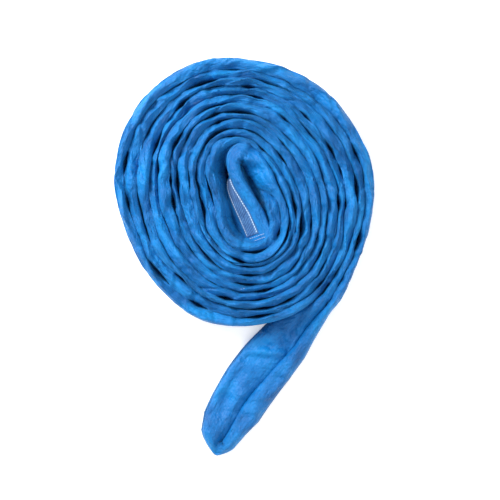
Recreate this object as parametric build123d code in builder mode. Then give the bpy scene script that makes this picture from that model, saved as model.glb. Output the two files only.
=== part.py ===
"""Round sling, wound up for storage: an endless yarn core inside a two-ply textile sleeve.

The endless loop is pressed flat into two legs that lie face to face and stand on edge.
That double band leans in the middle of the coil, winds outward, and leaves as a tail
whose end opens into the free eye. Units are millimetres, +Z is up, and the coil rests on Z = 0.
"""
from build123d import *
from math import asin, atan2, cos, degrees, exp, pi, radians, sin, sqrt, tan
import os

# ---- leg: the flattened sleeve with its core, as it stands on edge in the coil
leg_width = 76.0          # flat width, which is the height of the coil
leg_thickness = 13.6      # across the flat faces
corner_bevel = 5.0        # stands for the turned-over edges of the flattened tube
pair_gap = 0.5            # between the two legs of the double band
outer_ply = 1.2           # wall of the blue outer sleeve
inner_ply = 0.9           # wall of the inner sleeve
ply_gap = 0.15            # between sleeve and sleeve, and between sleeve and core

# ---- coil: radius of the double band's middle, from the coil's own centre
coil_centre = (-9.49, 126.96)      # from the middle of the whole sling's footprint
long_axis = 105.0                 # degrees from +X, the long way of the oval coil
mean_radius, mean_growth = 64.8, 34.9        # at the start, and per turn
oval_radius, oval_growth = 30.8, -3.4        # half the difference of long and short radius
end_shift, end_shift_growth = -2.5, 0.5      # of the oval's far end
side_shift, side_shift_growth = 8.5, -0.8    # towards the +X side
inner_slip = 7.8                             # inner turns lie lower and to the +X side
inner_slip_axis = 315.0
inner_slip_turns = 5.3                       # over which the slip fades out
turns_start, turns_end = 0.15, 5.2333
corners_per_turn = 12
slack_height, slack_turn, slack_spread = 12.6, 4.861, 0.09    # loose hump of the last turn
flat_depth, flat_angle, flat_spread = 11.6, 62.0, 30.0        # flattened stretch of each turn
flat_onset = 2.0                                              # turns until it is fully there

# ---- middle of the coil: the doubled end leans over on its lower edge
inner_bight = (28.1, -75.7)              # axis of the inner end's U-turn, from the coil's centre
bend_radius = 22.0                       # of the band's middle, where it turns out of the middle
bend_corners = 3
bend_centre = (3.0, 61.6)
bend_exit = -56.0                        # heading after the bend, degrees from +X
lean = 38.0
lean_stretch = 75.0                      # over which the band turns from upright to its lean
lean_steps = 10
upright_lead = 12.0                      # upright length before the bend

# ---- tail: corners of its upright start, then stations where it spreads flat
tail_corners = [(248.5, 15.5), (231.0, -97.0)]
# each station: x, y, outer leg's width and height, inner leg's width and height
tail_stations = [
    (187.5, -190.0, leg_thickness, leg_width, leg_thickness, leg_width),
    (164.0, -219.0, 17.0, 68.0, 17.0, 68.0),
    (141.6, -246.4, 23.0, 54.0, 26.0, 54.0),
    (119.0, -272.0, 30.0, 44.0, 46.0, 38.0),
    (98.9, -296.8, 37.0, 38.0, 64.0, 29.0),
    (62.1, -335.6, 44.0, 35.0, 68.0, 27.0),
    (29.1, -378.3, 46.0, 34.0, 66.0, 27.0),
    (0.0, -426.8, 42.0, 36.0, 56.0, 31.0),
    (-34.7, -488.2, 26.0, 44.0, 26.0, 44.0),
]
eye_slit = 3.0                           # between the legs where they turn round the free eye
flat_bevel = 10.0                        # of the spread legs
spreading_stations = 4                   # over which the bevel grows to that

# ---- identification label and stitching, on the leaning leg's upper face
label_start = lean_stretch / lean_steps        # from where the band stands upright
label_end_margin = 13.5                        # before the bight
label_width, label_thickness = 34.0, 0.7
stitch_row_spacing = 28.0
stitch_length, stitch_pitch, stitch_width, stitch_height = 4.0, 6.0, 0.9, 0.5
stitch_lift = 0.2                              # clear of the cloth that it crosses
joint_rows_from_bight = (9.5, 3.0)
joint_row_stitches = 10

half_pair = (leg_thickness + pair_gap) / 2
arc_share = 0.49                 # of the shorter run beside a corner, taken up by the corner's arc


def turn_angle(before, here, after):
    """Signed turn at a corner, in radians: positive to the left."""
    turn = radians((here - before).get_angle(after - here))
    return turn if (here - before).cross(after - here).Z > 0 else -turn


def band_radius(turns):
    """Radius of the double band's middle after so many turns from the coil's long axis."""
    angle = -2 * pi * turns
    oval = (oval_radius + oval_growth * turns) * cos(2 * angle)
    end = (end_shift + end_shift_growth * turns) * cos(angle)
    side = (side_shift + side_shift_growth * turns) * cos(angle + pi / 2)
    slip = inner_slip * (1 - turns / inner_slip_turns) * cos(angle + radians(long_axis - inner_slip_axis))
    slack = slack_height * exp(-(((turns - slack_turn) / slack_spread) ** 2))
    off_flat = (long_axis - flat_angle - 360 * turns + 180) % 360 - 180
    flat = flat_depth * (1 - exp(-turns / flat_onset)) * exp(-((off_flat / flat_spread) ** 2))
    return mean_radius + mean_growth * turns + oval + end + side + slip + slack - flat


def heading(angle):
    """Unit vector in plan at an angle from +X, in degrees."""
    return Vector(cos(radians(angle)), sin(radians(angle)))


def band_corners():
    """Corners of the upright double band: the bend out of the middle, the oval spiral, the tail."""
    corners = []
    step_turn = (entry_heading - bend_exit) / bend_corners
    for step in range(bend_corners):
        outward = entry_heading + 90 - step_turn * (step + 0.5)
        reach = bend_radius / cos(radians(step_turn / 2))
        corners.append(Vector(*bend_centre) + heading(outward) * reach)
    outside = 1 / cos(pi / corners_per_turn)
    count = round((turns_end - turns_start) * corners_per_turn) + 1
    for step in range(count):
        turns = turns_start + step / corners_per_turn
        angle = radians(long_axis) - 2 * pi * turns
        radius = band_radius(turns) * outside
        corners.append(Vector(radius * cos(angle), radius * sin(angle)))
    corners += [Vector(*point) for point in tail_corners]
    return corners


# the straight in the middle runs from the inner bight to a tangent of the bend
straight_end = Vector(*inner_bight)
to_bend = Vector(*bend_centre) - straight_end
tangent_angle = degrees(asin(bend_radius / to_bend.length))
entry_heading = degrees(atan2(to_bend.Y, to_bend.X)) + tangent_angle
run_down = heading(entry_heading) * -1
bend_start = straight_end - run_down * (to_bend.length * cos(radians(tangent_angle)))
upright_start = bend_start + run_down * upright_lead
spine = [upright_start] + band_corners() + [Vector(*tail_stations[0][:2])]
spine_radii = []
spine_turns = []
for before, here, after in zip(spine, spine[1:], spine[2:]):
    turn = turn_angle(before, here, after)
    shorter = min((here - before).length, (after - here).length)
    spine_turns.append(turn)
    spine_radii.append(arc_share * shorter / tan(abs(turn) / 2))


def leg_path(side):
    """Corners and arc radii of one leg beside the band's middle: side is -1 outer, 1 inner."""
    points = []
    radii = []
    for index, here in enumerate(spine):
        ahead = spine[min(index + 1, len(spine) - 1)] - spine[min(index, len(spine) - 2)]
        behind = here - spine[index - 1] if index else ahead
        right_ahead = ahead.normalized().cross(Vector(0, 0, 1))
        right_behind = behind.normalized().cross(Vector(0, 0, 1))
        mitre = (right_ahead + right_behind) / (1 + right_ahead.dot(right_behind))
        points.append(here + mitre * (side * half_pair))
    for radius, turn in zip(spine_radii, spine_turns):
        radii.append(radius + side * half_pair * (1 if turn > 0 else -1))
    return points, radii


def lean_stations():
    """Middle of the double band, its lean in degrees, from the upright start to the bight."""
    stations = []
    for step in range(lean_steps + 1):
        share = step / lean_steps
        stations.append((upright_start + run_down * (lean_stretch * share), lean * share))
    stations.append((straight_end, lean))
    return stations


def lean_plane(middle, tilt, side):
    """Section plane of a leaning leg: x across the leg's thickness, y up along its width."""
    right = Vector(0, 0, 1).cross(run_down)
    across = right * cos(radians(tilt)) - Vector(0, 0, 1) * sin(radians(tilt))
    pair = 2 * leg_thickness + pair_gap
    height = (leg_width * cos(radians(tilt)) + pair * sin(radians(tilt))) / 2
    origin = middle + Vector(0, 0, height) + across * (side * half_pair)
    return Plane(origin=origin, x_dir=across, z_dir=run_down * -1)


def tail_plane(index, side):
    """Section plane, width, height and bevel of one spread leg of the tail."""
    here = Vector(*tail_stations[index][:2])
    after = Vector(*tail_stations[min(index + 1, len(tail_stations) - 1)][:2])
    before = Vector(*tail_stations[max(index - 1, 0)][:2])
    if index == 0:
        direction = (here - spine[-2]).normalized()
    elif index == len(tail_stations) - 1:
        direction = (here - before).normalized()
    else:
        direction = ((after - here).normalized() + (here - before).normalized()).normalized()
    right = direction.cross(Vector(0, 0, 1))
    width, height = tail_stations[index][2:4] if side < 0 else tail_stations[index][4:6]
    gap = pair_gap + (eye_slit - pair_gap) * index / (len(tail_stations) - 1)
    origin = here + right * (side * (gap + width) / 2) + Vector(0, 0, height / 2)
    bevel = corner_bevel + (flat_bevel - corner_bevel) * min(1, index / spreading_stations)
    return Plane(origin=origin, x_dir=right, z_dir=direction), width, height, bevel


def section(plane, inset, width=leg_thickness, height=leg_width, bevel=corner_bevel):
    """Eight-sided section of a leg, drawn in by inset all round."""
    with BuildSketch(plane) as profile:
        Rectangle(width - 2 * inset, height - 2 * inset)
        chamfer(profile.vertices(), bevel - inset * (2 - sqrt(2)))
    return profile.sketch


def upright_stretch(side, inset):
    """One leg from the middle of the coil through every turn to the start of the tail."""
    points, radii = leg_path(side)
    lift = Vector(0, 0, leg_width / 2)
    with BuildPart() as stretch:
        with BuildLine() as route:
            FilletPolyline(*[point + lift for point in points], radius=radii)
        across = Vector(0, 0, 1).cross(run_down)
        start = Plane(origin=points[0] + lift, x_dir=across, z_dir=run_down * -1)
        sweep(section(start, inset), path=route.wires()[0])
    return stretch.part


def leaning_stretch(side, inset):
    """One leg of the straight in the middle, which turns from upright to its lean."""
    sections = [section(lean_plane(middle, tilt, side), inset) for middle, tilt in lean_stations()]
    with BuildPart() as stretch:
        loft(sections, ruled=True)
    return stretch.part


def tail_stretch(side, inset):
    """One leg of the tail, which spreads from upright to nearly flat and closes in at the eye."""
    sections = []
    for index in range(len(tail_stations)):
        plane, width, height, bevel = tail_plane(index, side)
        sections.append(section(plane, inset, width, height, bevel))
    with BuildPart() as stretch:
        loft(sections, ruled=True)
    return stretch.part


def inner_turn(inset):
    """U-turn of the loop at the inner bight, about the leaning band's middle."""
    plane = lean_plane(straight_end, lean, 1)
    axis = Axis(lean_plane(straight_end, lean, 0).origin, plane.y_dir)
    with BuildPart() as turn:
        revolve(section(plane, inset), axis=axis, revolution_arc=180)
    return turn.part


def eye_turn(inset):
    """U-turn of the loop round the free eye, about an upright axis."""
    plane, width, height, bevel = tail_plane(len(tail_stations) - 1, 1)
    axis = Axis(Vector(*tail_stations[-1][:2]), (0, 0, 1))
    with BuildPart() as turn:
        revolve(section(plane, inset, width, height, bevel), axis=axis, revolution_arc=180)
    return turn.part


def wound_length(inset):
    """Both legs from the inner bight to the start of the tail, drawn in by inset all round."""
    with BuildPart() as wound:
        for side in (-1, 1):
            add(leaning_stretch(side, inset))
            add(upright_stretch(side, inset))
        add(inner_turn(inset))
    return wound.part.moved(Location((*coil_centre, 0)))


def tail_length(inset):
    """Both legs of the tail and their turn round the free eye, drawn in by inset all round."""
    with BuildPart() as tail:
        for side in (-1, 1):
            add(tail_stretch(side, inset))
        add(eye_turn(inset))
    return tail.part.moved(Location((*coil_centre, 0)))


def endless_loop(inset):
    """The whole closed loop, drawn in by inset all round, in the sling's frame."""
    with BuildPart() as loop:
        add(wound_length(inset))
        add(tail_length(inset))
    return loop.part


def upper_face(along, lift):
    """Plane on the leaning leg's upper face: x down the leg, z out of the face."""
    tilt = lean * min(1, along / lean_stretch)
    middle = lean_plane(upright_start + run_down * along, tilt, -1)
    out = middle.x_dir * -1
    origin = middle.origin + out * (leg_thickness / 2 + lift) + Vector(*coil_centre)
    return Plane(origin=origin, x_dir=run_down, z_dir=out)


def stitch_plane(along, edge_offset):
    """Plane of one stitch just above the label: x follows the thread's row."""
    ends = []
    for reach in (-stitch_length / 2, stitch_length / 2):
        face = upper_face(along + reach, label_thickness + stitch_lift)
        ends.append(face.origin + face.y_dir * edge_offset)
    row = (ends[1] - ends[0]).normalized()
    return Plane(origin=(ends[0] + ends[1]) / 2, x_dir=row, z_dir=row.cross(face.y_dir))


straight_length = (straight_end - upright_start).length

# ---- load-bearing core: the endless hank of yarn
core_inset = outer_ply + inner_ply + 2 * ply_gap
with BuildPart() as core_yarn:
    add(endless_loop(core_inset))

# ---- inner sleeve: the white ply round the core
with BuildPart() as inner_sleeve:
    add(endless_loop(outer_ply + ply_gap))
    add(endless_loop(core_inset - ply_gap), mode=Mode.SUBTRACT)

# ---- outer sleeve: the blue ply, in two lengths that meet where the tail leaves the coil
with BuildPart() as outer_sleeve_coil:
    add(wound_length(0))
    add(wound_length(outer_ply), mode=Mode.SUBTRACT)

with BuildPart() as outer_sleeve_tail:
    add(tail_length(0))
    add(tail_length(outer_ply), mode=Mode.SUBTRACT)

# ---- identification label: a blank strip of webbing on the upper face, which follows its twist
label_stops = [label_start * step for step in range(1, lean_steps + 1)]
label_stops.append(straight_length - label_end_margin)
with BuildPart() as identification_label:
    strips = []
    for stop in label_stops:
        face = upper_face(stop, label_thickness / 2)
        edge = Plane(origin=face.origin, x_dir=face.z_dir, z_dir=run_down * -1)
        with BuildSketch(edge, mode=Mode.PRIVATE) as strip:
            Rectangle(label_thickness, label_width)
        strips.append(strip.sketch)
    loft(strips, ruled=True)

# ---- label stitching: two rows of pale thread down the label
with BuildPart() as label_stitching:
    row_length = straight_length - label_end_margin - label_start - 2 * stitch_length
    for index in range(int(row_length / stitch_pitch) + 1):
        along = label_start + stitch_length + index * stitch_pitch
        for edge_offset in (-stitch_row_spacing / 2, stitch_row_spacing / 2):
            with BuildSketch(stitch_plane(along, edge_offset)):
                SlotOverall(stitch_length, stitch_width)
            extrude(amount=stitch_height)

# ---- joint stitching: rows across the leg, where the sleeve's two ends overlap
with BuildPart() as joint_stitching:
    for from_bight in joint_rows_from_bight:
        with BuildSketch(upper_face(straight_length - from_bight, stitch_lift)):
            with GridLocations(1, stitch_pitch, 1, joint_row_stitches):
                SlotOverall(stitch_length, stitch_width, rotation=90)
        extrude(amount=stitch_height)

pieces = {
    "core_yarn": core_yarn,
    "inner_sleeve": inner_sleeve,
    "outer_sleeve_coil": outer_sleeve_coil,
    "outer_sleeve_tail": outer_sleeve_tail,
    "identification_label": identification_label,
    "label_stitching": label_stitching,
    "joint_stitching": joint_stitching,
}
os.makedirs("parts", exist_ok=True)
for name, piece in pieces.items():
    piece.part.label = name
    export_step(piece.part, f"parts/{name}.step")
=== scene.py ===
"""Looks of the coiled round sling: its creased blue sleeve, blank label and stitching."""
from math import asin, atan2, cos, degrees, exp, hypot, pi, radians, sin

import bpy
import numpy as np
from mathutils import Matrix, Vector


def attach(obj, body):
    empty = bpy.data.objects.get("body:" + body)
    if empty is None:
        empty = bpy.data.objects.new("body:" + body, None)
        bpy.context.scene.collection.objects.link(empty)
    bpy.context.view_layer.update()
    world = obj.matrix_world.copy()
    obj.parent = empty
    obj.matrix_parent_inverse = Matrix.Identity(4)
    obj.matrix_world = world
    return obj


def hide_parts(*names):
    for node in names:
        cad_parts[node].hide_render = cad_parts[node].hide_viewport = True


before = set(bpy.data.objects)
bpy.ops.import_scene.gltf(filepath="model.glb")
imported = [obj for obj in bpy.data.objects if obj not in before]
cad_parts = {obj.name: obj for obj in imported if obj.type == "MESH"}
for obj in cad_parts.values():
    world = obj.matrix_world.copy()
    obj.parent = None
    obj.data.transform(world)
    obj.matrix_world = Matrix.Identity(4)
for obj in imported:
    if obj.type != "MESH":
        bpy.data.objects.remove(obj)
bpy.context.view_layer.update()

# ------------------------------------------------------------------ the loop's route, in metres
# The same oval spiral and middle that the CAD sleeve follows, with a flatter lean and a wider tail.
leg_width = 0.076
leg_thickness = 0.0136
pair_gap = 0.0005
coil_centre = np.array([-0.00949, 0.12696])
long_axis = 105.0
mean_radius, mean_growth = 0.0648, 0.0349
oval_radius, oval_growth = 0.0308, -0.0034
end_shift, end_shift_growth = -0.0025, 0.0005
side_shift, side_shift_growth = 0.0085, -0.0008
inner_slip, inner_slip_axis, inner_slip_turns = 0.0078, 315.0, 5.3
turns_start, turns_end = 0.15, 5.2333
corners_per_turn = 12
slack_height, slack_turn, slack_spread = 0.0126, 4.861, 0.09
flat_depth, flat_angle, flat_spread = 0.0116, 62.0, 30.0
flat_onset = 2.0
inner_bight = np.array([0.0281, -0.0757])
bend_radius, bend_corners = 0.022, 3
bend_centre = np.array([0.0030, 0.0616])
bend_exit = -56.0
lean = 46.0                      # degrees off upright
lean_stretch = 0.075             # of the straight, over which the band leans over
lean_power = 0.6                 # below 1, so that the lean grows quickly at first
upright_lead = 0.012
coil_lead = 0.05                 # of the band after its straight, before it counts as a turn
tail_corners = [(0.2485, 0.0155), (0.2310, -0.0970)]
# x, y, outer leg's width and height, inner leg's width and height
tail_stations = np.array([
    (0.1875, -0.1900, 0.0136, 0.076, 0.0136, 0.076),
    (0.1640, -0.2190, 0.0170, 0.068, 0.0270, 0.066),
    (0.1416, -0.2464, 0.0230, 0.054, 0.0370, 0.052),
    (0.1190, -0.2720, 0.0300, 0.044, 0.0520, 0.038),
    (0.0989, -0.2968, 0.0370, 0.038, 0.0610, 0.029),
    (0.0621, -0.3356, 0.0430, 0.035, 0.0630, 0.027),
    (0.0291, -0.3783, 0.0430, 0.034, 0.0635, 0.027),
    (0.0000, -0.4268, 0.0400, 0.035, 0.0620, 0.029),
    (-0.0174, -0.4575, 0.0310, 0.037, 0.0590, 0.031),
    (-0.0347, -0.4882, 0.0240, 0.036, 0.0470, 0.033),
])


def heading(angle):
    """Unit vector in plan at an angle in degrees from +X."""
    return np.array([cos(radians(angle)), sin(radians(angle))])


def band_radius(turns):
    """Radius of the double band's middle after so many turns from the coil's long axis."""
    angle = -2 * pi * turns
    oval = (oval_radius + oval_growth * turns) * cos(2 * angle)
    end = (end_shift + end_shift_growth * turns) * cos(angle)
    side = (side_shift + side_shift_growth * turns) * cos(angle + pi / 2)
    slip_angle = angle + radians(long_axis - inner_slip_axis)
    slip = inner_slip * (1 - turns / inner_slip_turns) * cos(slip_angle)
    slack = slack_height * exp(-(((turns - slack_turn) / slack_spread) ** 2))
    off_flat = (long_axis - flat_angle - 360 * turns + 180) % 360 - 180
    flat = flat_depth * (1 - exp(-turns / flat_onset)) * exp(-((off_flat / flat_spread) ** 2))
    return mean_radius + mean_growth * turns + oval + end + side + slip + slack - flat


def spine_corners():
    """Corners of the double band's middle, from the inner bight to the free eye."""
    to_bend = bend_centre - inner_bight
    reach = hypot(*to_bend)
    tangent_angle = degrees(asin(bend_radius / reach))
    entry = degrees(atan2(to_bend[1], to_bend[0])) + tangent_angle
    up = heading(entry)
    straight = reach * cos(radians(tangent_angle))
    corners = [inner_bight + up * straight * share for share in (0, 0.25, 0.5, 0.75)]
    corners.append(inner_bight + up * (straight - upright_lead))
    step_turn = (entry - bend_exit) / bend_corners
    for step in range(bend_corners):
        outward = entry + 90 - step_turn * (step + 0.5)
        corners.append(bend_centre + heading(outward) * bend_radius / cos(radians(step_turn / 2)))
    for step in range(round((turns_end - turns_start) * corners_per_turn) + 1):
        turns = turns_start + step / corners_per_turn
        angle = long_axis - 360 * turns
        corners.append(heading(angle) * band_radius(turns) / cos(pi / corners_per_turn))
    corners += [np.array(point) for point in tail_corners]
    corners += list(tail_stations[:, :2])
    return np.array(corners)


def rounded(corners, per_corner=24):
    """Points of the smooth curve that touches the middle of every run between the corners."""
    middles = (corners[:-1] + corners[1:]) / 2
    u = np.linspace(0, 1, per_corner, endpoint=False)[:, None]
    parts = [corners[0] + (middles[0] - corners[0]) * u]
    for before, corner, after in zip(middles, corners[1:-1], middles[1:]):
        parts.append((1 - u) ** 2 * before + 2 * u * (1 - u) * corner + u ** 2 * after)
    parts.append(middles[-1] + (corners[-1] - middles[-1]) * u)
    parts.append(corners[-1:])
    return np.concatenate(parts)


def evenly(points, step):
    """The same line at even steps, and its length so far at each."""
    along = np.r_[0, np.cumsum(np.linalg.norm(np.diff(points, axis=0), axis=1))]
    at = np.linspace(0, along[-1], int(along[-1] / step) + 1)
    return np.stack([np.interp(at, along, points[:, k]) for k in range(points.shape[1])], 1), at


class Band:
    """The double band's middle, sampled evenly, with what its surroundings leave it."""

    def __init__(self, step):
        self.xy, self.at = evenly(rounded(spine_corners()), step)
        ahead = np.gradient(self.xy, axis=0)
        self.ahead = ahead / np.linalg.norm(ahead, axis=1)[:, None]
        # outer side of the band, left of the way out
        self.out = np.stack([-self.ahead[:, 1], self.ahead[:, 0]], 1)
        self.length = self.at[-1]
        reach = hypot(*(bend_centre - inner_bight))
        self.straight = np.sqrt(reach ** 2 - bend_radius ** 2)
        self.tail_from = self.nearest(tail_stations[0, :2])
        angle = np.unwrap(np.arctan2(self.xy[:, 1], self.xy[:, 0]))
        self.coil_from = int(np.searchsorted(self.at, self.straight + coil_lead))
        turns = -(angle - angle[self.coil_from]) / (2 * pi)
        self.turns = turns + self.first_turns()
        self.radius = np.linalg.norm(self.xy, axis=1)

    def nearest(self, point):
        """Number of the sample nearest to a point in plan."""
        return int(np.argmin(np.linalg.norm(self.xy - point, axis=1)))

    def first_turns(self):
        """Share of a turn between the coil's long axis and where the turns start."""
        here = self.xy[self.coil_from]
        return ((long_axis - degrees(atan2(here[1], here[0]))) % 360) / 360

    def neighbour(self, by):
        """Distance along the normal to the turn before (by -1) or after (by 1), and its place."""
        coil = slice(self.coil_from, self.tail_from)
        turns, radius, at = self.turns[coil], self.radius[coil], self.at[coil]
        wanted = self.turns + by
        found = (wanted > turns[0]) & (wanted < turns[-1])
        found &= (self.at >= at[0]) & (self.at <= at[-1])
        other = np.interp(wanted, turns, radius)
        radial = self.xy / self.radius[:, None]
        slope = np.abs((radial * self.out).sum(1))
        gap = np.abs(other - self.radius) * slope
        return np.where(found, gap, np.inf), np.interp(wanted, turns, at)


# ------------------------------------------------------------------ irregular shapes along the cloth
drawn_from, drawn_length = -0.5, 14      # stretch of cloth that the uneven values are drawn for


class Wander:
    """A value that changes along the cloth in straight runs between uneven stops."""

    def __init__(self, seed, spacing, low, high):
        rng = np.random.default_rng(seed)
        gaps = spacing * (0.5 + rng.random(int(drawn_length / spacing)))
        self.stops = np.cumsum(gaps) + drawn_from
        self.values = low + (high - low) * rng.random(len(gaps))

    def __call__(self, along):
        return np.interp(along, self.stops, self.values)


class Wall:
    """How far the wall between two legs is off its even place: a slow drift and quick kinks."""

    def __init__(self, seed, drift, kink):
        self.slow = Wander(seed, 0.13, -drift, drift)
        self.quick = Wander(seed + 1, 0.045, -kink, kink)

    def __call__(self, along):
        return self.slow(along) + self.quick(along)


class Pockets:
    """Lens-shaped openings between neighbouring legs: 0 between them, up to 1 in their middles."""

    def __init__(self, seed, spacing, shortest, longest):
        rng = np.random.default_rng(seed)
        count = int(drawn_length / spacing)
        self.middles = np.cumsum(spacing * (0.4 + 1.2 * rng.random(count))) + drawn_from
        self.halves = (shortest + (longest - shortest) * rng.random(count)) / 2
        self.depths = 0.15 + 0.85 * rng.random(count) ** 1.6

    def __call__(self, along):
        off = np.abs(along[:, None] - self.middles) / self.halves
        return (np.clip(1 - off, 0, 1) ** 0.8 * self.depths).max(1)


class Puffs:
    """Swellings of the sleeve between its creases: 0 at a crease, about 1 at a puff's crest."""

    def __init__(self, seed, spacing, slant):
        rng = np.random.default_rng(seed)
        gaps = spacing * (0.35 + 1.3 * rng.random(int(drawn_length / spacing)))
        self.creases = np.cumsum(gaps) + drawn_from
        self.crests = 0.5 + 0.3 * np.sign(rng.random(len(self.creases)) - 0.5)
        self.slant = Wander(seed + 1, spacing * 1.4, -slant, slant)
        self.spacing = spacing

    def __call__(self, along, across):
        """along has one value for each ring, and across one for each point of the ring."""
        at = along[:, None] - self.slant(along)[:, None] * across
        after = np.clip(np.searchsorted(self.creases, at), 1, len(self.creases) - 1)
        low, high = self.creases[after - 1], self.creases[after]
        share, crest = np.clip((at - low) / (high - low), 0, 1), self.crests[after]
        size = np.clip((high - low) / self.spacing, 0.4, 1.3)
        return np.minimum(share / crest, (1 - share) / (1 - crest)) ** 0.8 * size


def ripple(points, seed, wavelength, waves=18):
    """Smooth unevenness from -1 to 1 or so, the sum of plane waves in every direction."""
    rng = np.random.default_rng(seed)
    total = np.zeros(len(points))
    for _ in range(waves):
        direction = rng.normal(size=3)
        direction /= np.linalg.norm(direction)
        length = wavelength * (0.6 + 0.9 * rng.random())
        total += np.sin(points @ direction * (2 * pi / length) + 2 * pi * rng.random())
    return total / np.sqrt(waves)


def smooth_step(low, high, value):
    """Share from 0 at low to 1 at high, level at both ends. High may be below low."""
    share = np.clip((value - low) / (high - low), 0, 1)
    return share * share * (3 - 2 * share)


def hump(value, rise_from, rise_to, fall_from, fall_to):
    """Share that rises from 0 to 1 and falls back to 0."""
    return smooth_step(rise_from, rise_to, value) * smooth_step(fall_to, fall_from, value)


# ------------------------------------------------------------------ the legs, ring by ring
ring_step = 0.0039
free_thickness = 0.0185          # of a leg with nothing beside it
widest_half_gap = 0.028          # that a leg fills, towards its neighbour
thinnest = 0.008                 # that a leg gets anywhere
straight_fullness = 1.12         # thickness of the straight's legs, against the CAD's
smoothed_rings = 17              # over which the legs' thickness is evened out
middle_wall, turn_wall = Wall(11, 0.0044, 0.0018), Wall(13, 0.0036, 0.0018)
free_wall = Wall(15, 0.0012, 0.0007)
middle_pockets, turn_pockets = Pockets(21, 0.110, 0.030, 0.070), Pockets(22, 0.095, 0.030, 0.075)
free_pockets = Pockets(23, 0.30, 0.03, 0.06)
free_pocket_depth = 0.2          # of the outline's pockets, against those between turns
outer_seed, inner_seed = 31, 41
# unevenness of each leg: spacing of its stops, lowest and highest value
height_wander = (0.09, -0.009, 0.003)
drop_wander = (0.045, -0.0030, 0.0045)
ridge_wander = (0.038, -0.8, 0.8)
peak_wander = (0.09, 0.9, 1.9)
shoulder = 0.0085                # drop from a leg's ridge to its sides

# The middle. Each stretch says where a share rises from and to, and where it falls from and to, in
# metres of band after the straight.
last_turns = 3.0                 # of the band before the tail: a side left free earlier faces the middle
base_flare = 0.024               # how far an inside leg spreads at its foot, where nothing is beside it
flare_onset, inner_flare_lead = 0.03, 0.08
spare_share, most_spare = 1.3, 0.02      # of a gap too wide to fill, that a leg's foot spreads into
straight_drift = np.array([0.012, -0.012])     # of the inner bight, which slumps towards the coil
drift_from = 0.11
calm_edge = 0.02                 # of the band, over which the label's smooth stretch ends
lap = 0.0085                     # how far the label's leg laps over the other one in the middle
lap_end, lap_fade, lap_onset = 0.120, 0.05, 0.02
sunk = 0.022                     # how much lower the lapped leg is
bend_point = 0.009               # by which the outer leg narrows where it enters the bend
point_stretch = (-0.045, 0.0, 0.01, 0.045)
bend_lap = 0.0185                # lap in the bend, where the outer leg closes over its middle
bend_stretch = (-0.03, 0.0, 0.06, 0.10)
facet_width, facet_drop = 0.016, 0.030         # of the outer leg's top, folded over as a slope
facet_stretch, slope_stretch = (0.060, 0.09, 0.115, 0.165), (0.015, 0.045, 0.115, 0.165)
facet_sunk, facet_ridge = 0.014, 0.75

# the tail
tail_onset = 0.05
tail_overlap = 0.0016            # by which each of its legs reaches past the band's middle
tail_pocket_fade = 0.6
tail_valley = 0.008              # of the valley between its legs, towards the outer leg
valley_stretch = (0.15, 0.4, 0.55, 0.8)        # shares of the tail
eye_arc = 0.040                  # of cloth round the free eye, between the two legs
eye_rings, eye_roundness = 16, 1.25
tip_reach = 0.029                # of the free eye's tip, from its turn
bight_rings, bight_bulge = 10, 0.006

# where the last turn stands out of the even oval: angle from +X, by how much, over how many degrees
bulges = [(50.0, 0.009, 24.0), (-30.0, -0.006, 16.0), (-108.0, 0.008, 18.0), (105.0, 0.0035, 15.0)]

# folds of the tail's cloth in plan: from x, y to x, y, then depth (a raised fold is below 0) and width
tail_folds = [
    (0.0041, -0.1796, 0.0759, -0.1834, -0.0066, 0.0065),
    (0.0022, -0.1931, 0.0623, -0.1951, 0.0057, 0.0065),
    (0.0332, -0.166, 0.0681, -0.1737, 0.0085, 0.0069),
    (0.0662, -0.1252, 0.0817, -0.1776, 0.0085, 0.0065),
    (0.105, -0.1117, 0.0856, -0.1737, 0.0085, 0.0065),
    (-0.0095, -0.1931, -0.0774, -0.294, -0.0047, 0.0092),
    (-0.025, -0.2378, -0.0483, -0.3095, 0.0085, 0.0103),
    (-0.0173, -0.2804, 0.006, -0.2552, -0.0057, 0.0092),
    (0.0274, -0.2649, 0.0215, -0.294, -0.0047, 0.008),
    (0.0992, -0.164, 0.0992, -0.1893, -0.0057, 0.0092),
    (0.0817, -0.2067, 0.0448, -0.261, 0.0057, 0.008),
    (-0.0444, -0.3483, -0.0561, -0.3813, 0.011, 0.008),
    (0.0332, -0.1349, 0.0526, -0.1543, -0.0047, 0.0103),
    (0.0041, -0.3057, -0.0231, -0.3406, 0.0057, 0.0069),
    (0.0138, -0.2164, 0.0022, -0.2397, -0.0038, 0.008),
    (-0.0095, -0.2222, -0.025, -0.2552, 0.0038, 0.0069),
]


def folded(points, folds):
    """How far each point sinks into the folds that pass it."""
    depths = np.zeros(points.shape[:-1])
    for x0, y0, x1, y1, depth, width in folds:
        start, run = np.array([x0, y0]), np.array([x1 - x0, y1 - y0])
        off = points[..., :2] - start
        share = np.clip(off @ run / (run @ run), 0, 1)
        away = np.linalg.norm(off - share[..., None] * run, axis=-1)
        depths += depth * np.exp(-(away / width) ** 2) * (1 - 0.5 * np.abs(2 * share - 1))
    return depths


def outline_bulge(angle):
    """How far the last turn's outer wall stands out at an angle round the coil."""
    out = 0
    for where, reach, spread in bulges:
        off = (angle - where + 180) % 360 - 180
        out = out + reach * np.exp(-(off / spread) ** 2)
    return out


class Rings:
    """One leg's cross-sections: origin and axes of each, and the shape that it has there."""

    names = ("origin", "side", "up", "near", "far", "height", "near_drop", "far_drop", "near_pocket",
             "far_pocket", "ridge", "peak", "along", "calm", "flatness", "flare", "overhang")

    def __init__(self, **values):
        for name in self.names:
            setattr(self, name, np.asarray(values[name], float))

    @staticmethod
    def chain(parts):
        """Rings of several stretches, one after the other."""
        joined = {name: np.concatenate([getattr(part, name) for part in parts]) for name in Rings.names}
        return Rings(**joined)

    def picked(self, index):
        """One of the rings, or a slice of them."""
        return Rings(**{name: getattr(self, name)[index] for name in self.names})


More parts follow.
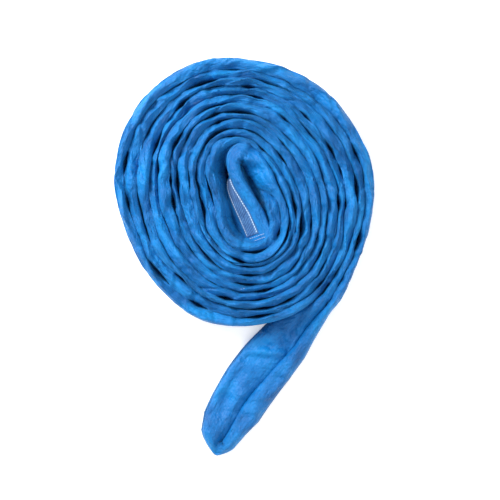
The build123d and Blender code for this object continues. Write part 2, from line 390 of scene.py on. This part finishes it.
def leg_thicknesses(gap, straight):
    """How far a leg reaches from the band's middle, given the gap that it shares with its neighbour."""
    reach = np.where(np.isfinite(gap), np.minimum(gap / 2, widest_half_gap), free_thickness)
    reach[straight] = leg_thickness * straight_fullness
    padded = np.pad(reach, smoothed_rings // 2, mode="edge")
    return np.convolve(padded, np.ones(smoothed_rings) / smoothed_rings, mode="valid")


def leg_rings(band, outer):
    """Rings of the outer or inner leg, from the inner bight to the free eye."""
    at = band.at
    after = at - band.straight
    straight = at < band.straight
    sign, seed = (1, outer_seed) if outer else (-1, inner_seed)
    gap, at_beside = band.neighbour(sign)
    beside = np.isfinite(gap)
    tail_start = band.at[band.tail_from]
    inside = at < tail_start - last_turns
    tail = smooth_step(tail_start, tail_start + tail_onset, at)
    upright = 1 - tail
    facet = hump(after, *facet_stretch)
    lapped = smooth_step(lap_end + lap_fade, lap_end, after) * smooth_step(0.0, lap_onset, at)

    # the walls between this leg, the other one and the neighbouring turn
    station_at = [band.at[band.nearest(station[:2])] for station in tail_stations]
    width = np.interp(at, station_at, tail_stations[:, 2 if outer else 4])
    far = leg_thicknesses(gap, straight) * upright
    far = far + np.maximum(width, far) * tail
    if outer:
        last_turn = free_wall(at) + outline_bulge(long_axis - 360 * band.turns)
        far_shift = np.where(beside | inside, turn_wall(at), last_turn)
        far_pocket = np.where(beside, turn_pockets(at), free_pocket_depth * free_pockets(at))
    else:
        far_shift = np.where(beside, -turn_wall(at_beside), free_wall(at))
        far_pocket = np.where(beside, turn_pockets(at_beside), free_pockets(at))
    middle_shift = middle_wall(at) * upright * ~straight - lap / 2 * lapped
    along_tail = np.clip((at - tail_start) / (band.length - tail_start), 0, 1)
    middle_shift = middle_shift + tail_valley * hump(along_tail, *valley_stretch)
    reach_over = (lap + (bend_lap - lap) * hump(after, *bend_stretch) + facet_width * facet) * lapped
    overhang = np.clip(reach_over - lap / 2 * lapped, 0, None) * outer
    near = sign * middle_shift - tail_overlap * tail - overhang
    narrowing = bend_point * hump(after, *point_stretch) * outer
    far = np.maximum(far - narrowing, near + thinnest) + far_shift * upright * ~straight

    # how high the leg is, and how it leans
    leg_height = np.where(straight, leg_width, leg_width + Wander(seed, *height_wander)(at))
    if not outer:
        leg_height = leg_height - (sunk + facet_sunk * facet) * lapped
    tail_height = np.interp(at, station_at, tail_stations[:, 3 if outer else 5])
    height = leg_height * upright + tail_height * tail
    leaning = np.clip((band.straight - upright_lead - at) / lean_stretch, 0, 1) ** lean_power
    tilt = np.radians(lean) * leaning
    pair = 2 * leg_thickness + pair_gap
    origin = np.c_[band.xy + coil_centre, (height * np.cos(tilt) + pair * np.sin(tilt)) / 2]
    origin[:, :2] += straight_drift * smooth_step(drift_from, 0, at)[:, None]

    # the shape of its top and foot
    facet = facet * outer
    sloping = hump(after, *slope_stretch) * outer
    spare = np.where(beside, np.clip(gap / 2 - widest_half_gap, 0, most_spare) * spare_share, 0)
    flaring = smooth_step(0, flare_onset, after if outer else after + inner_flare_lead)
    return Rings(
        origin=origin,
        side=np.c_[band.out * sign * np.cos(tilt)[:, None], sign * np.sin(tilt)],
        up=np.c_[-band.out * np.sin(tilt)[:, None], np.cos(tilt)],
        near=near, far=far, height=height, overhang=overhang,
        near_drop=shoulder + Wander(seed + 2, *drop_wander)(at) + facet_drop * sloping,
        far_drop=shoulder + Wander(seed + 3, *drop_wander)(at),
        near_pocket=middle_pockets(at) * (1 - tail * tail_pocket_fade),
        far_pocket=far_pocket * upright,
        ridge=Wander(seed + 4, *ridge_wander)(at) * upright * (1 - facet) + facet_ridge * facet,
        peak=Wander(seed + 5, *peak_wander)(at),
        along=at if outer else 2 * band.length + eye_arc - at,
        calm=smooth_step(band.straight + calm_edge, band.straight - calm_edge, at),
        flatness=tail,
        flare=flaring * (base_flare * (~beside & inside) + spare),
    )


def turn_rings(before, after, forward, count, bulge):
    """Rings that swing round a bight from one leg's last ring to the other's first, and bulge there."""
    share = (np.arange(1, count + 1) / (count + 1))[:, None]
    swing = pi * share
    values = {}
    for name in Rings.names:
        start, end = getattr(before, name), getattr(after, name)
        ease = share if np.ndim(start) else share[:, 0]
        values[name] = start * (1 - ease) + end * ease
    values["side"] = before.side * np.cos(swing) + forward * np.sin(swing)
    values["up"] = np.repeat(before.up[None], count, 0)
    values["far"] = values["far"] + bulge * np.sin(pi * share[:, 0])
    return Rings(**values)


def whole_loop(band):
    """Rings of the closed loop: out along the outer leg, round the eye, back, round the bight."""
    out, back = leg_rings(band, True), leg_rings(band, False)
    end_ahead = np.r_[band.ahead[-1], 0]
    start_back = np.r_[-band.ahead[0], 0]
    eye = turn_rings(out.picked(-1), back.picked(-1), end_ahead, eye_rings, 0)
    swing = pi * np.arange(1, eye_rings + 1) / (eye_rings + 1)
    side_reach = np.where(swing < pi / 2, out.far[-1], back.far[-1])
    eye.far = ((np.abs(np.cos(swing) / side_reach) ** eye_roundness
                + (np.sin(swing) / tip_reach) ** eye_roundness) ** (-1 / eye_roundness))
    first = out.picked(0)
    first.along = back.picked(0).along + eye_arc
    bight = turn_rings(back.picked(0), first, start_back, bight_rings, bight_bulge)
    return Rings.chain([out, eye, back.picked(slice(None, None, -1)), bight])


# ------------------------------------------------------------------ one cross-section
top_points, wall_points, base_points = 21, 3, 3
round_cap = np.sin(np.linspace(-pi / 2, pi / 2, top_points))
even_cap = np.linspace(-1, 1, top_points)
cap_evening = 0.6                # in the tail, from the round spacing to the even one
walls = np.linspace(0, 1, wall_points + 2)[1:-1]
base = np.sin(np.linspace(pi / 2, -pi / 2, base_points))
foot, foot_power = 0.003, 1.5    # how far every leg spreads at its foot, pressed on its neighbours
base_corner = 0.006
pocket_drop, crease_drop = 0.012, 0.003        # by which a side sinks at a pocket, and at a crease
pocket_recess, crease_recess = 0.0040, 0.0006  # and by which it stands back
recess_end = 0.3                 # share of the way down a wall, where its recess starts to fade
tail_side = 0.8                  # drop of a tail leg's sides, against half its height
edge_share, tail_edge_share = 0.16, 0.36       # of a side's drop that its round edge makes, not its slope
edge_power, tail_edge_power = 2, 0.6
tail_peak = 2.2
puff_height, puff_level = 0.0066, 0.8
tail_puff_loss, side_puff_loss = 0.3, 0.5
tail_bulge = 0.10                # of a tail leg's outer wall, against half its width


def ring_points(rings, puffs):
    """Points of every section: over the top, down the far wall, along the base, up the near wall."""
    near, far = rings.near, rings.far
    middle, half = ((near + far) / 2)[:, None], ((far - near) / 2)[:, None]
    high = (rings.height / 2)[:, None]
    loose = (1 - rings.calm)[:, None]
    flat = rings.flatness[:, None]
    flare, overhang = rings.flare[:, None], rings.overhang[:, None]
    cap = round_cap + cap_evening * flat * (even_cap - round_cap)
    swell = puffs(rings.along, cap)
    near_pinch = np.clip(1 - swell[:, :1], 0, 1)
    far_pinch = np.clip(1 - swell[:, -1:], 0, 1)

    def drop(given, pocket, pinch):
        upright = given[:, None] + loose * (pocket_drop * pocket[:, None] + crease_drop * pinch)
        return upright * (1 - flat) + flat * high * tail_side

    def recess(pocket, pinch):
        return loose * (1 - flat) * (pocket_recess * pocket[:, None] + crease_recess * pinch)

    # the top, which falls from its ridge to both sides
    ridge = rings.ridge[:, None] * loose
    near_side = cap < ridge
    share = np.where(near_side, (ridge - cap) / (1 + ridge), (cap - ridge) / (1 - ridge))
    share = np.clip(share, 0, 1)
    roundness = 1 - np.sqrt(np.clip(1 - share ** (edge_power + tail_edge_power * flat), 0, 1))
    edge = edge_share + tail_edge_share * flat
    slope = share ** (rings.peak[:, None] * (1 - flat) + tail_peak * flat)
    drops = np.where(near_side, drop(rings.near_drop, rings.near_pocket, near_pinch),
                     drop(rings.far_drop, rings.far_pocket, far_pinch))
    top_y = high - drops * (edge * roundness + (1 - edge) * slope)
    puffed = loose * (1 - tail_puff_loss * flat) * puff_height * (swell - puff_level)
    top_y = top_y + puffed * (1 - side_puff_loss * share)
    near_recess = recess(rings.near_pocket, near_pinch)
    far_recess = recess(rings.far_pocket, far_pinch)
    top_x = middle + half * cap + np.where(cap < 0, near_recess * -cap, -far_recess * cap)

    # the walls and the base
    low = -high + base_corner
    footing = foot * (1 - flat) * loose
    far_y = top_y[:, -1:] + (low - top_y[:, -1:]) * walls
    far_x = middle + half - far_recess * (1 - smooth_step(recess_end, 1, walls))
    far_x = far_x + tail_bulge * half * flat * np.sin(pi * walls) + (flare + footing) * walls ** foot_power
    near_y = low + (top_y[:, :1] - low) * walls
    near_x = middle - half + near_recess * (1 - smooth_step(recess_end, 1, 1 - walls))
    near_x = near_x - footing * (1 - walls) ** foot_power + overhang * (1 - walls)
    base_x = middle + (half + footing) * base + flare * (1 + base) / 2 + overhang * (1 - base) / 2
    base_y = -high + base_corner * (1 - np.sqrt(1 - base ** 4))
    x = np.concatenate([top_x, far_x, base_x, near_x], 1)[..., None]
    y = np.concatenate([top_y, far_y, base_y, near_y], 1)[..., None]
    return rings.origin[:, None] + rings.side[:, None] * x + rings.up[:, None] * y


def drawn_in(points, rings, inset):
    """The same cross-sections, drawn in towards their middles, and more so in height and in the tail."""
    middle = (points.min(1, keepdims=True) + points.max(1, keepdims=True)) / 2
    off = points - middle
    side_share, up_share, most_share = 1.0, 1.3, 0.6
    for axis, share in ((rings.side[:, None], side_share), (rings.up[:, None], up_share)):
        part = (off * axis).sum(2, keepdims=True)
        deeper = inset * share * (1 + rings.flatness[:, None, None])
        part = part * np.clip(deeper / np.abs(part).max(1, keepdims=True), 0, most_share)
        points = points - axis * part
    return points


def grid_normals(points):
    """Outward normals of a closed grid of rings."""
    along = np.roll(points, -1, 0) - np.roll(points, 1, 0)
    around = np.roll(points, -1, 1) - np.roll(points, 1, 1)
    normal = np.cross(along, around)
    normal /= np.maximum(np.linalg.norm(normal, axis=2, keepdims=True), 1e-12)
    return normal


# ------------------------------------------------------------------ meshes
def placed(name, mesh, material):
    """A piece of that mesh and material, in the scene."""
    mesh.materials.append(material)
    piece = bpy.data.objects.new(name, mesh)
    bpy.context.scene.collection.objects.link(piece)
    return piece


def grid_mesh(name, points, along, material):
    """A closed tube from rings of points, with its cloth coordinates in metres as UVs."""
    rings, around = points.shape[:2]
    ring, place = np.meshgrid(np.arange(rings), np.arange(around), indexing="ij")
    after, beside = (ring + 1) % rings, (place + 1) % around
    corners = np.stack([ring * around + place, after * around + place,
                        after * around + beside, ring * around + beside], -1).reshape(-1, 4)
    mesh = bpy.data.meshes.new(name)
    mesh.vertices.add(rings * around)
    mesh.vertices.foreach_set("co", points.reshape(-1).astype(np.float32))
    mesh.loops.add(corners.size)
    mesh.loops.foreach_set("vertex_index", corners.reshape(-1).astype(np.int32))
    mesh.polygons.add(len(corners))
    mesh.polygons.foreach_set("loop_start", np.arange(0, corners.size, 4, dtype=np.int32))
    mesh.polygons.foreach_set("use_smooth", np.ones(len(corners), bool))
    step = np.linalg.norm(points - np.roll(points, -1, 1), axis=2)
    girth = np.concatenate([np.zeros((rings, 1)), np.cumsum(step, 1)], 1).mean(0)
    closing_run = 0.005                      # of cloth from the last ring to the first
    run = np.r_[along, along[-1] + closing_run]
    steps = ((0, 0), (1, 0), (1, 1), (0, 1))
    uv = np.stack([np.stack([run[ring + i], girth[place + j]], -1) for i, j in steps], 2)
    layer = mesh.uv_layers.new(name="cloth")
    layer.data.foreach_set("uv", uv.reshape(-1).astype(np.float32))
    mesh.update(calc_edges=True)
    mesh.validate()
    return placed(name, mesh, material)


def strip_mesh(name, lower, upper, material):
    """A thin closed strip from two matching grids of points, its back and its front."""
    rows, columns = upper.shape[:2]
    flat = np.concatenate([lower.reshape(-1, 3), upper.reshape(-1, 3)])
    back = np.arange(rows * columns).reshape(rows, columns)
    front = back + rows * columns
    faces = []
    for i in range(rows - 1):
        for j in range(columns - 1):
            faces.append((front[i, j], front[i + 1, j], front[i + 1, j + 1], front[i, j + 1]))
            faces.append((back[i, j], back[i, j + 1], back[i + 1, j + 1], back[i + 1, j]))
    edge = [(i, 0) for i in range(rows)] + [(rows - 1, j) for j in range(1, columns)]
    edge += [(i, columns - 1) for i in range(rows - 2, -1, -1)]
    edge += [(0, j) for j in range(columns - 2, 0, -1)]
    for here, after in zip(edge, edge[1:] + edge[:1]):
        faces.append((front[here], back[here], back[after], front[after]))
    mesh = bpy.data.meshes.new(name)
    mesh.from_pydata(flat.tolist(), [], [tuple(int(v) for v in face) for face in faces])
    place = np.stack(np.meshgrid(np.arange(rows), np.arange(columns), indexing="ij"), -1).reshape(-1, 2)
    run = np.linalg.norm(upper[1:, 0] - upper[:-1, 0], axis=1).sum() / (rows - 1)
    reach = np.linalg.norm(upper[0, 1:] - upper[0, :-1], axis=1).sum() / (columns - 1)
    cloth = np.tile(place * [run, reach], (2, 1))
    layer = mesh.uv_layers.new(name="cloth")
    for loop in mesh.loops:
        layer.data[loop.index].uv = cloth[loop.vertex_index]
    for polygon in mesh.polygons:
        polygon.use_smooth = True
    return placed(name, mesh, material)


def stitches_mesh(name, stitches, material):
    """Raised stitches of thread, each a small pod: its start, end, way out and radius."""
    around, steps = 8, 7
    turn = np.linspace(0, 2 * pi, around, endpoint=False)
    share = np.linspace(0, 1, steps)
    girths = np.sqrt(np.clip(1 - (2 * share - 1) ** 4, 0.02, 1))
    vertices, faces = [], []
    for start, end, out, radius in stitches:
        run = (end - start) / np.linalg.norm(end - start)
        beside = np.cross(run, out)
        first = len(vertices)
        for part, wide in zip(share, girths * radius):
            middle = start + (end - start) * part + out * radius * 0.5 * np.sin(pi * part)
            for angle in turn:
                vertices.append(middle + wide * (np.cos(angle) * beside + np.sin(angle) * out))
        for i in range(steps - 1):
            for j in range(around):
                a, b = first + i * around + j, first + i * around + (j + 1) % around
                faces.append((a, b, b + around, a + around))
        faces.append(tuple(range(first + around - 1, first - 1, -1)))
        last = first + (steps - 1) * around
        faces.append(tuple(range(last, last + around)))
    mesh = bpy.data.meshes.new(name)
    mesh.from_pydata([tuple(v) for v in vertices], [], faces)
    for polygon in mesh.polygons:
        polygon.use_smooth = True
    return placed(name, mesh, material)


# ------------------------------------------------------------------ materials
class Nodes:
    """Short ways to make and join a material's nodes."""

    def __init__(self, name):
        self.material = bpy.data.materials.new(name)
        self.material.use_nodes = True
        self.tree = self.material.node_tree
        self.shader = self.tree.nodes["Principled BSDF"]

    def add(self, kind, inputs=(), **settings):
        node = self.tree.nodes.new("ShaderNode" + kind)
        for key, value in settings.items():
            setattr(node, key, value)
        for socket, value in dict(inputs).items():
            self.put(node.inputs[socket], value)
        return node

    def put(self, socket, value):
        if hasattr(value, "links"):
            self.tree.links.new(value, socket)
        else:
            socket.default_value = value

    def stretched(self, scale):
        """The cloth's own coordinates, in metres, times a scale along and across it."""
        uv = self.add("UVMap", uv_map="cloth").outputs["UV"]
        mapping = self.add("Mapping", {"Vector": uv, "Scale": (*scale, 1)})
        return mapping.outputs["Vector"]

    def noise(self, scale, detail=3.0, roughness=0.5):
        """Uneven value from 0 to 1, with about that many lumps to a metre along and across."""
        made = self.add("TexNoise", {"Vector": self.stretched(scale), "Scale": 1.0, "Detail": detail,
                                     "Roughness": roughness})
        return made.outputs["Fac"]

    def ramp(self, value, stops):
        made = self.add("ValToRGB", {"Fac": value})
        ramp = made.color_ramp
        while len(ramp.elements) < len(stops):
            ramp.elements.new(0.5)
        for element, (at, color) in zip(ramp.elements, stops):
            element.position = at
            element.color = (*color, 1)
        return made.outputs["Color"]

    def math(self, operation, first, second):
        return self.add("Math", {0: first, 1: second}, operation=operation).outputs[0]

    def waves(self, pitch, along):
        """Threads side by side at that pitch in metres, running along the cloth or across it."""
        waves_per_scale = 20 / (2 * pi)          # of Blender's own wave texture
        made = self.add("TexWave", {"Vector": self.stretched((1, 1)), "Scale": 1 / (pitch * waves_per_scale),
                                    "Distortion": 0.0},
                        bands_direction="Y" if along else "X", wave_profile="SIN")
        return made.outputs["Fac"]

    def bump(self, height, distance, under=None):
        made = self.add("Bump", {"Height": height, "Distance": distance, "Strength": 1.0})
        if under is not None:
            self.put(made.inputs["Normal"], under)
        return made.outputs["Normal"]


def sleeve_material():
    """Blue woven polyester with a satin sheen: yarn streaks, uneven dye and a fine plain weave."""
    m = Nodes("blue_polyester")
    dye = m.noise((14, 30), 4)
    streaks = m.noise((40, 1400), 2)
    deep, mid, light = (0.001, 0.096, 0.32), (0.002, 0.148, 0.45), (0.003, 0.218, 0.59)
    colour = m.ramp(m.math("ADD", m.math("MULTIPLY", dye, 0.7), m.math("MULTIPLY", streaks, 0.3)),
                    [(0.38, deep), (0.5, mid), (0.63, light)])
    m.put(m.shader.inputs["Base Color"], colour)
    m.put(m.shader.inputs["Roughness"], m.math("ADD", m.math("MULTIPLY", streaks, 0.2), 0.36))
    m.shader.inputs["Sheen Weight"].default_value = 0.22
    m.shader.inputs["Sheen Roughness"].default_value = 0.35
    m.shader.inputs["Sheen Tint"].default_value = (0.15, 0.65, 1.0, 1)
    m.shader.inputs["Specular IOR Level"].default_value = 0.30
    wrinkles = m.bump(m.noise((38, 70), 3, 0.55), 0.0085)
    puckers = m.bump(m.noise((110, 260), 3, 0.6), 0.0042, wrinkles)
    weave = m.math("MULTIPLY", m.waves(0.0022, True), m.waves(0.0016, False))
    m.put(m.shader.inputs["Normal"], m.bump(weave, 0.00018, puckers))
    return m.material


def label_material():
    """Blank grey-blue webbing: a fine slanting weave."""
    m = Nodes("label_webbing")
    fade = m.noise((60, 90), 3)
    twill = m.add("TexWave", {"Vector": m.stretched((1, 0.55)), "Scale": 120.0, "Distortion": 4.0,
                              "Detail": 2.0, "Detail Scale": 3.0}, bands_direction="DIAGONAL").outputs["Fac"]
    mixed = m.math("ADD", m.math("MULTIPLY", fade, 0.6), m.math("MULTIPLY", twill, 0.4))
    deep, mid, light = (0.006, 0.040, 0.13), (0.022, 0.105, 0.29), (0.075, 0.215, 0.45)
    m.put(m.shader.inputs["Base Color"], m.ramp(mixed, [(0.2, deep), (0.5, mid), (0.8, light)]))
    m.shader.inputs["Roughness"].default_value = 0.7
    m.shader.inputs["Sheen Weight"].default_value = 0.2
    m.put(m.shader.inputs["Normal"], m.bump(twill, 0.0003))
    return m.material


def plain_cloth(name, dark, light, roughness):
    """A plain woven or spun material between two shades."""
    m = Nodes(name)
    m.put(m.shader.inputs["Base Color"], m.ramp(m.noise((60, 400), 3), [(0.3, dark), (0.7, light)]))
    m.shader.inputs["Roughness"].default_value = roughness
    m.shader.inputs["Sheen Weight"].default_value = 0.2
    m.put(m.shader.inputs["Normal"], m.bump(m.noise((300, 1500), 2), 0.0003))
    return m.material


def thread_material():
    """Pale twisted sewing thread."""
    m = Nodes("thread")
    place = m.add("TexCoord").outputs["Object"]
    twist = m.add("TexWave", {"Vector": place, "Scale": 500.0, "Distortion": 1.0}, bands_direction="DIAGONAL")
    colour = m.ramp(twist.outputs["Fac"], [(0.1, (0.34, 0.56, 0.85)), (0.8, (0.70, 0.86, 1.0))])
    m.put(m.shader.inputs["Base Color"], colour)
    m.shader.inputs["Roughness"].default_value = 0.4
    m.shader.inputs["Sheen Weight"].default_value = 0.3
    m.put(m.shader.inputs["Normal"], m.bump(twist.outputs["Fac"], 0.00015))
    return m.material


def floor_material():
    """Matt off-white paper, lit a little from below."""
    m = Nodes("floor")
    place = m.add("TexCoord").outputs["Object"]
    grain = m.add("TexNoise", {"Vector": place, "Scale": 60.0, "Detail": 4.0}).outputs["Fac"]
    shade = m.ramp(grain, [(0.3, (0.90, 0.90, 0.90)), (0.7, (0.93, 0.93, 0.93))])
    m.put(m.shader.inputs["Base Color"], shade)
    m.shader.inputs["Roughness"].default_value = 0.9
    m.shader.inputs["Emission Color"].default_value = (1, 1, 1, 1)
    m.shader.inputs["Emission Strength"].default_value = 0.35
    return m.material


# ------------------------------------------------------------------ the sleeve and what is in it
band = Band(ring_step)
rings = whole_loop(band)
puffs = Puffs(51, 0.046, 0.026)
plain = ring_points(rings, puffs)
normals = grid_normals(plain)

# crumpled cloth: shallow creases run where a slow unevenness passes through zero
straight_calm, tail_calm = 0.85, 0.4           # how much less the straight and the tail crumple
large_wave, large_depth = 0.075, 0.0030
small_wave, small_depth = 0.034, 0.0014
crease_depth = 0.0035
quiet = (1 - rings.calm * straight_calm)[:, None]
large = np.abs(ripple(plain.reshape(-1, 3), 61, large_wave)).reshape(plain.shape[:2])
small = np.abs(ripple(plain.reshape(-1, 3), 62, small_wave)).reshape(plain.shape[:2])
side_slope, top_slope = 0.2, 0.7               # upward parts of the normals of a side and of a top
facing_up = smooth_step(side_slope, top_slope, normals[..., 2])
lively = (large * large_depth + small * small_depth - crease_depth) * quiet * facing_up
lively = lively * (1 - tail_calm * rings.flatness[:, None])
cover = plain + normals * lively[..., None]
cover[..., 2] -= folded(cover, tail_folds) * facing_up * rings.flatness[:, None]
cover[..., 2] = np.maximum(cover[..., 2], 0.0)
sleeve = grid_mesh("outer_sleeve_cloth", cover, rings.along, sleeve_material())
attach(sleeve, "root")
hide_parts("outer_sleeve_coil", "outer_sleeve_tail")

# what is inside follows the cover's creases, without its spread feet and laps
every = 2
ply_inset, hank_inset = 0.0034, 0.0052
sparse = rings.picked(slice(None, None, every))
sparse.height = sparse.height - sparse.overhang
sparse.near = sparse.near + sparse.overhang
sparse.overhang = np.zeros_like(sparse.overhang)
sparse.flare = np.zeros_like(sparse.flare)
within = ring_points(sparse, puffs) + (cover - plain)[::every]
inner_cloth = grid_mesh("inner_sleeve_cloth", drawn_in(within, sparse, ply_inset), sparse.along,
                        plain_cloth("inner_cloth", (0.62, 0.64, 0.66), (0.78, 0.80, 0.82), 0.8))
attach(inner_cloth, "root")
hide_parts("inner_sleeve")
hank = grid_mesh("core_yarn_hank", drawn_in(within, sparse, hank_inset), sparse.along,
                 plain_cloth("core_yarn", (0.70, 0.69, 0.64), (0.86, 0.85, 0.80), 0.9))
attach(hank, "root")
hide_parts("core_yarn")


# ------------------------------------------------------------------ the label and the stitching
def upper_face(down, beside, lift):
    """Points on the leaning leg's upper face, down from where the band stands upright."""
    at = band.straight - upright_lead - np.asarray(down, float)
    place = np.clip(at / ring_step, 0, len(band.at) - 2)
    low = place.astype(int)
    share = (place - low)[..., None]

    def between(values):
        return values[low] * (1 - share) + values[low + 1] * share

    far = rings.far[low][..., None] + lift
    return (between(rings.origin) + between(rings.side) * far
            + between(rings.up) * np.asarray(beside, float)[..., None])


straight_length = band.straight - upright_lead
label_start, label_end_margin = 0.0075, 0.0135
label_width, label_thickness, label_clearance = 0.034, 0.0007, 0.0001
label_length = straight_length - label_start - label_end_margin
down, beside = np.meshgrid(np.linspace(label_start, label_start + label_length, 60),
                           np.linspace(-label_width / 2, label_width / 2, 16), indexing="ij")
label = strip_mesh("identification_label_strip", upper_face(down, beside, label_clearance),
                   upper_face(down, beside, label_thickness), label_material())
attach(label, "root")
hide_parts("identification_label")

thread = thread_material()
thread_radius = 0.0007
thread_lift = thread_radius * 0.4              # of a stitch's ends over the cloth below


def stitch(start, end, under, thickness):
    """A stitch between two places (down, beside) on the upper face, over cloth as thick as under."""
    out = upper_face(*start, 1.0) - upper_face(*start, 0.0)
    lift = under + thread_lift
    return upper_face(*start, lift), upper_face(*end, lift), out, thread_radius * thickness


row_spacing, row_stitch, row_pitch = 0.028, 0.0036, 0.0042
row_start_margin, row_end_margin = 0.002, 0.005
row_starts = np.arange(label_start + row_start_margin, label_start + label_length - row_end_margin, row_pitch)
label_stitches = []
for row, thickness in ((-row_spacing / 2, 0.85), (row_spacing / 2, 1.5)):
    for first in row_starts:
        label_stitches.append(stitch((first, row), (first + row_stitch, row), label_thickness, thickness))
rows = stitches_mesh("label_stitching_thread", label_stitches, thread)
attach(rows, "root")
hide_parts("label_stitching")

joint_rows_from_bight = (0.0095, 0.0030)
joint_row_stitches, joint_pitch, joint_half_stitch, joint_thickness = 10, 0.0060, 0.0024, 0.6
joint_stitches = []
for from_bight in joint_rows_from_bight:
    for index in range(joint_row_stitches):
        across = (index - (joint_row_stitches - 1) / 2) * joint_pitch
        row = straight_length - from_bight
        joint_stitches.append(stitch((row, across - joint_half_stitch), (row, across + joint_half_stitch),
                                     0.0, joint_thickness))
joints = stitches_mesh("joint_stitching_thread", joint_stitches, thread)
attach(joints, "root")
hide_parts("joint_stitching")

# ------------------------------------------------------------------ floor, light and camera
floor_size, floor_depth = 40.0, 0.0006
bpy.ops.mesh.primitive_plane_add(size=floor_size, location=(0, 0, -floor_depth))
floor = bpy.context.object
floor.name = "floor"
floor.data.materials.append(floor_material())


def area_light(name, location, target, size, power):
    """A soft square light, turned towards its target."""
    data = bpy.data.lights.new(name, "AREA")
    data.size = size
    data.energy = power
    light = bpy.data.objects.new(name, data)
    light.location = location
    light.rotation_euler = (Vector(target) - Vector(location)).to_track_quat("-Z", "Y").to_euler()
    bpy.context.scene.collection.objects.link(light)


middle = Vector((0.01, 0.10, 0.05))
area_light("key", (-1.3, 1.1, 1.35), middle, 0.9, 62)
area_light("fill", (1.6, -1.0, 1.8), middle, 1.6, 15)
world = bpy.data.worlds.new("studio")
world.use_nodes = True
world.node_tree.nodes["Background"].inputs["Color"].default_value = (1, 1, 1, 1)
world.node_tree.nodes["Background"].inputs["Strength"].default_value = 0.85
bpy.context.scene.world = world

camera_height, frame_width, subject_height = 2.5, 0.97, 0.07
camera_data = bpy.data.cameras.new("camera")
camera_data.sensor_width = 36.0
camera_data.lens = camera_data.sensor_width * (camera_height - subject_height) / frame_width
camera = bpy.data.objects.new("camera", camera_data)
camera.location = (0.0099, 0.0203, camera_height)
bpy.context.scene.collection.objects.link(camera)
bpy.context.scene.camera = camera
bpy.context.scene.view_settings.view_transform = "Standard"
